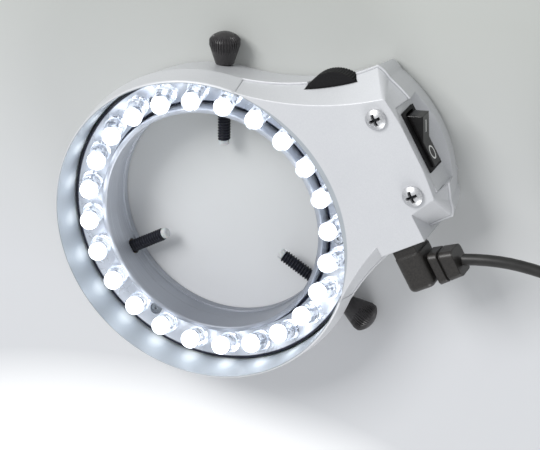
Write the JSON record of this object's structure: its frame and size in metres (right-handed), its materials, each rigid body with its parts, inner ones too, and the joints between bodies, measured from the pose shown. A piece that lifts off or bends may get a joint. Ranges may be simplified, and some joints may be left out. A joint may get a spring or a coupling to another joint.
{
  "type": "microscope led illuminator",
  "caption": "Silver grey LED ring light for a stereo microscope, with black thumbscrews, a control box with dimmer wheel and O/I rocker switch, and a black power cord",
  "frame": {"origin": "on the axis of the lens bore, at the flat back face that lies on the bench", "axes": "+Z along the bore axis towards the side that the LEDs shine to; +X from the bore towards the control box; +Y towards the side with the dimmer wheel"},
  "size_m": [0.1906, 0.1082, 0.023],
  "materials": {
    "housing_paint": "satin silver grey paint over moulded plastic",
    "collar_metal": "fine turned, satin silver",
    "carrier_silver": "smooth silver film",
    "board_green": "solder mask over glass epoxy",
    "screw_steel": "bright nickel plating",
    "bush_brass": "plain turned brass",
    "thread_black": "black nylon thread",
    "knob_plastic": "smooth black nylon",
    "nylon_clear": "soft uncoloured nylon",
    "black_plastic": "fine textured black moulding",
    "rocker_plastic": "glossy black with white O and I",
    "parts_grey": "component bodies",
    "wire_red": "insulated hook up wire",
    "cord_black": "flexible black PVC",
    "tie_plastic": "flat black strap",
    "plated_metal": "nickel plated sheet",
    "led_lens": "water clear epoxy, lit cool white"
  },
  "bodies": {
    "housing": {"back_housing": "housing_paint", "front_cover": "housing_paint", "lens_collar": "collar_metal", "led_carrier": "carrier_silver", "led_board": "board_green", "carrier_screws": "screw_steel", "thumb_bushes": "bush_brass", "cover_screws": "screw_steel", "switch_body": "black_plastic", "dimmer_body": "black_plastic", "power_socket": "black_plastic", "driver_board": "board_green", "driver_parts": "parts_grey", "led_wires": "wire_red", "switch_wires": "wire_red", "cord_plug": "cord_black", "plug_barrel": "plated_metal", "cord_boot": "cord_black", "power_cord": "cord_black", "power_cord_coil": "cord_black", "cord_tie": "tie_plastic", "usb_plug": "cord_black", "usb_shell": "plated_metal", "led_01": "led_lens", "led_02": "led_lens", "led_03": "led_lens", "led_04": "led_lens", "led_05": "led_lens", "led_06": "led_lens", "led_07": "led_lens", "led_08": "led_lens", "led_09": "led_lens", "led_10": "led_lens", "led_11": "led_lens", "led_12": "led_lens", "led_13": "led_lens", "led_14": "led_lens", "led_15": "led_lens", "led_16": "led_lens", "led_17": "led_lens", "led_18": "led_lens", "led_19": "led_lens", "led_20": "led_lens", "led_21": "led_lens", "led_22": "led_lens", "led_23": "led_lens", "led_24": "led_lens"},
    "screw_tip_1": {"nylon_tip_1": "nylon_clear"},
    "thumbscrew_1": {"thumb_thread_1": "thread_black", "thumb_knob_1": "knob_plastic"},
    "screw_tip_2": {"nylon_tip_2": "nylon_clear"},
    "thumbscrew_2": {"thumb_thread_2": "thread_black", "thumb_knob_2": "knob_plastic"},
    "screw_tip_3": {"nylon_tip_3": "nylon_clear"},
    "thumbscrew_3": {"thumb_thread_3": "thread_black", "thumb_knob_3": "knob_plastic"},
    "dimmer": {"dimmer_wheel": "black_plastic", "dimmer_shaft": "screw_steel"},
    "rocker": {"switch_rocker": "rocker_plastic"}
  },
  "joints": [
    {"name": "thumbscrew_1_travel", "type": "slide", "parent": "housing", "child": "screw_tip_1", "axis": [0.5, 0.866, 0], "range_m": [0, 0.012]},
    {"name": "thumbscrew_1_turn", "type": "hinge", "parent": "screw_tip_1", "child": "thumbscrew_1", "pos_m": [0.0209, 0.0362, 0.0042], "axis": [0.5, 0.866, 0], "range_deg": [0, 5445]},
    {"name": "thumbscrew_2_travel", "type": "slide", "parent": "housing", "child": "screw_tip_2", "axis": [0.5, -0.866, 0], "range_m": [0, 0.012]},
    {"name": "thumbscrew_2_turn", "type": "hinge", "parent": "screw_tip_2", "child": "thumbscrew_2", "pos_m": [0.0209, -0.0362, 0.0042], "axis": [0.5, -0.866, 0], "range_deg": [0, 5445]},
    {"name": "thumbscrew_3_travel", "type": "slide", "parent": "housing", "child": "screw_tip_3", "axis": [-1, 0, 0], "range_m": [0, 0.012]},
    {"name": "thumbscrew_3_turn", "type": "hinge", "parent": "screw_tip_3", "child": "thumbscrew_3", "pos_m": [-0.0418, 0, 0.0042], "axis": [-1, 0, 0], "range_deg": [0, 5445]},
    {"name": "dimmer_turn", "type": "hinge", "parent": "housing", "child": "dimmer", "pos_m": [0.0504, 0.0166, 0.0136], "axis": [0, 0, 1], "range_deg": [-135, 135]},
    {"name": "rocker_tip", "type": "hinge", "parent": "housing", "child": "rocker", "pos_m": [0.065, 0.0002, 0.01435], "axis": [0, 0, 1], "range_deg": [0, 26.6]}
  ],
  "couplings": [
    {"joint": "thumbscrew_1_turn", "follows": "thumbscrew_1_travel", "rad_per_m": 7913.3},
    {"joint": "thumbscrew_2_turn", "follows": "thumbscrew_2_travel", "rad_per_m": 7913.3},
    {"joint": "thumbscrew_3_turn", "follows": "thumbscrew_3_travel", "rad_per_m": 7913.3}
  ]
}
